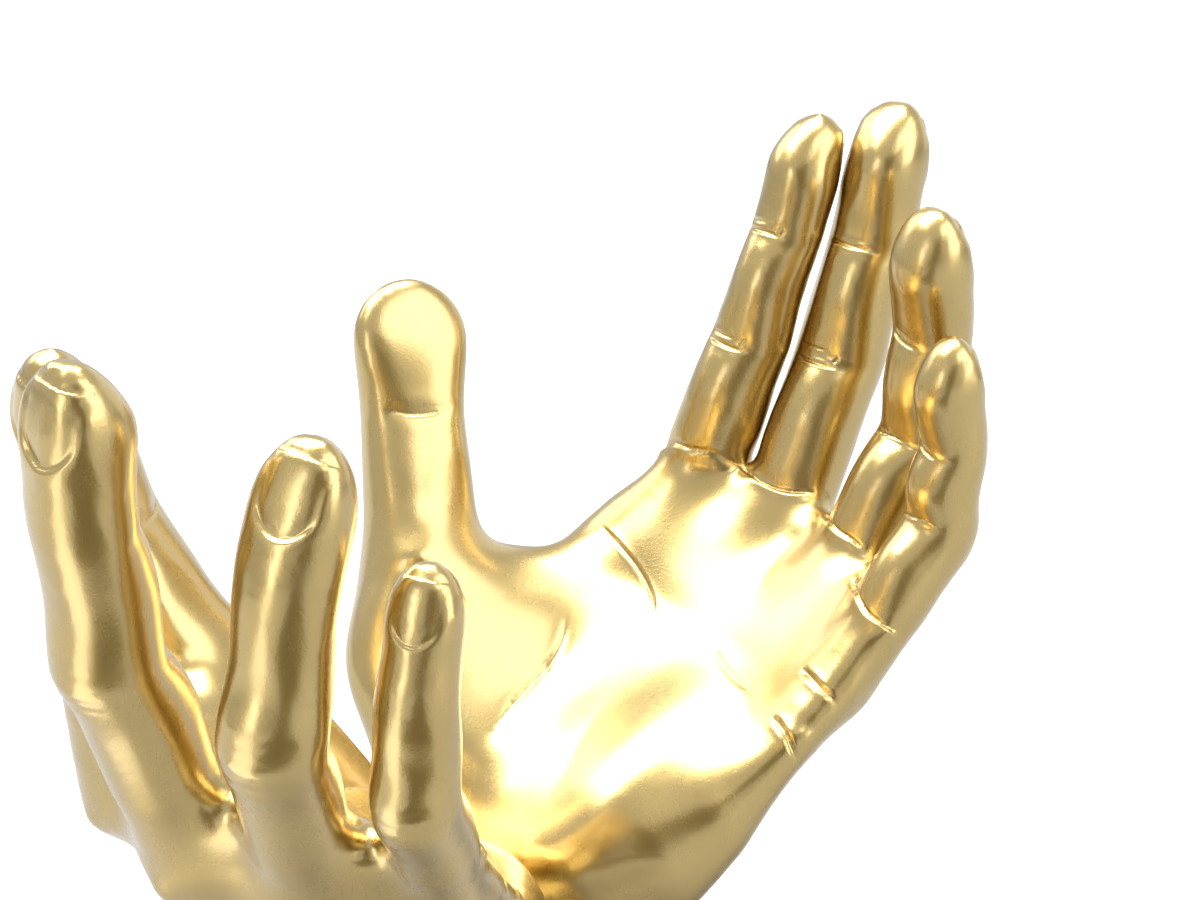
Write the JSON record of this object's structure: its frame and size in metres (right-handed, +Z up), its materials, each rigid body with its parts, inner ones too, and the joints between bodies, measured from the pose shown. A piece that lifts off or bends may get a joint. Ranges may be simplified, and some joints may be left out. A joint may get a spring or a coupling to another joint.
{
  "type": "praying hands statue",
  "caption": "Gold statue of open hands that rise from joined wrists, palms facing like a bowl, on a felted foot; a free-standing ornament.",
  "frame": {"origin": "middle of the foot's underside, where the felt pad rests", "axes": "+Z up, X across the seam between the hands with the left hand at +X, +Y towards the thumbs"},
  "size_m": [0.2428, 0.1377, 0.1947],
  "materials": {
    "gold_paint": "satin gold metallic paint over cast polyresin",
    "dowel_steel": "ground steel pin",
    "ballast_iron": "rough cast iron slug",
    "insert_brass": "turned brass",
    "plate_paint": "matt black paint on steel plate",
    "screw_steel": "zinc plated steel",
    "felt": "dark green felt"
  },
  "bodies": {
    "root": {"left_hand": "gold_paint", "right_hand": "gold_paint", "seam_dowels": "dowel_steel", "left_ballast": "ballast_iron", "right_ballast": "ballast_iron", "left_inserts": "insert_brass", "right_inserts": "insert_brass", "base_plate": "plate_paint", "base_screws": "screw_steel", "felt_pad": "felt"}
  },
  "joints": []
}
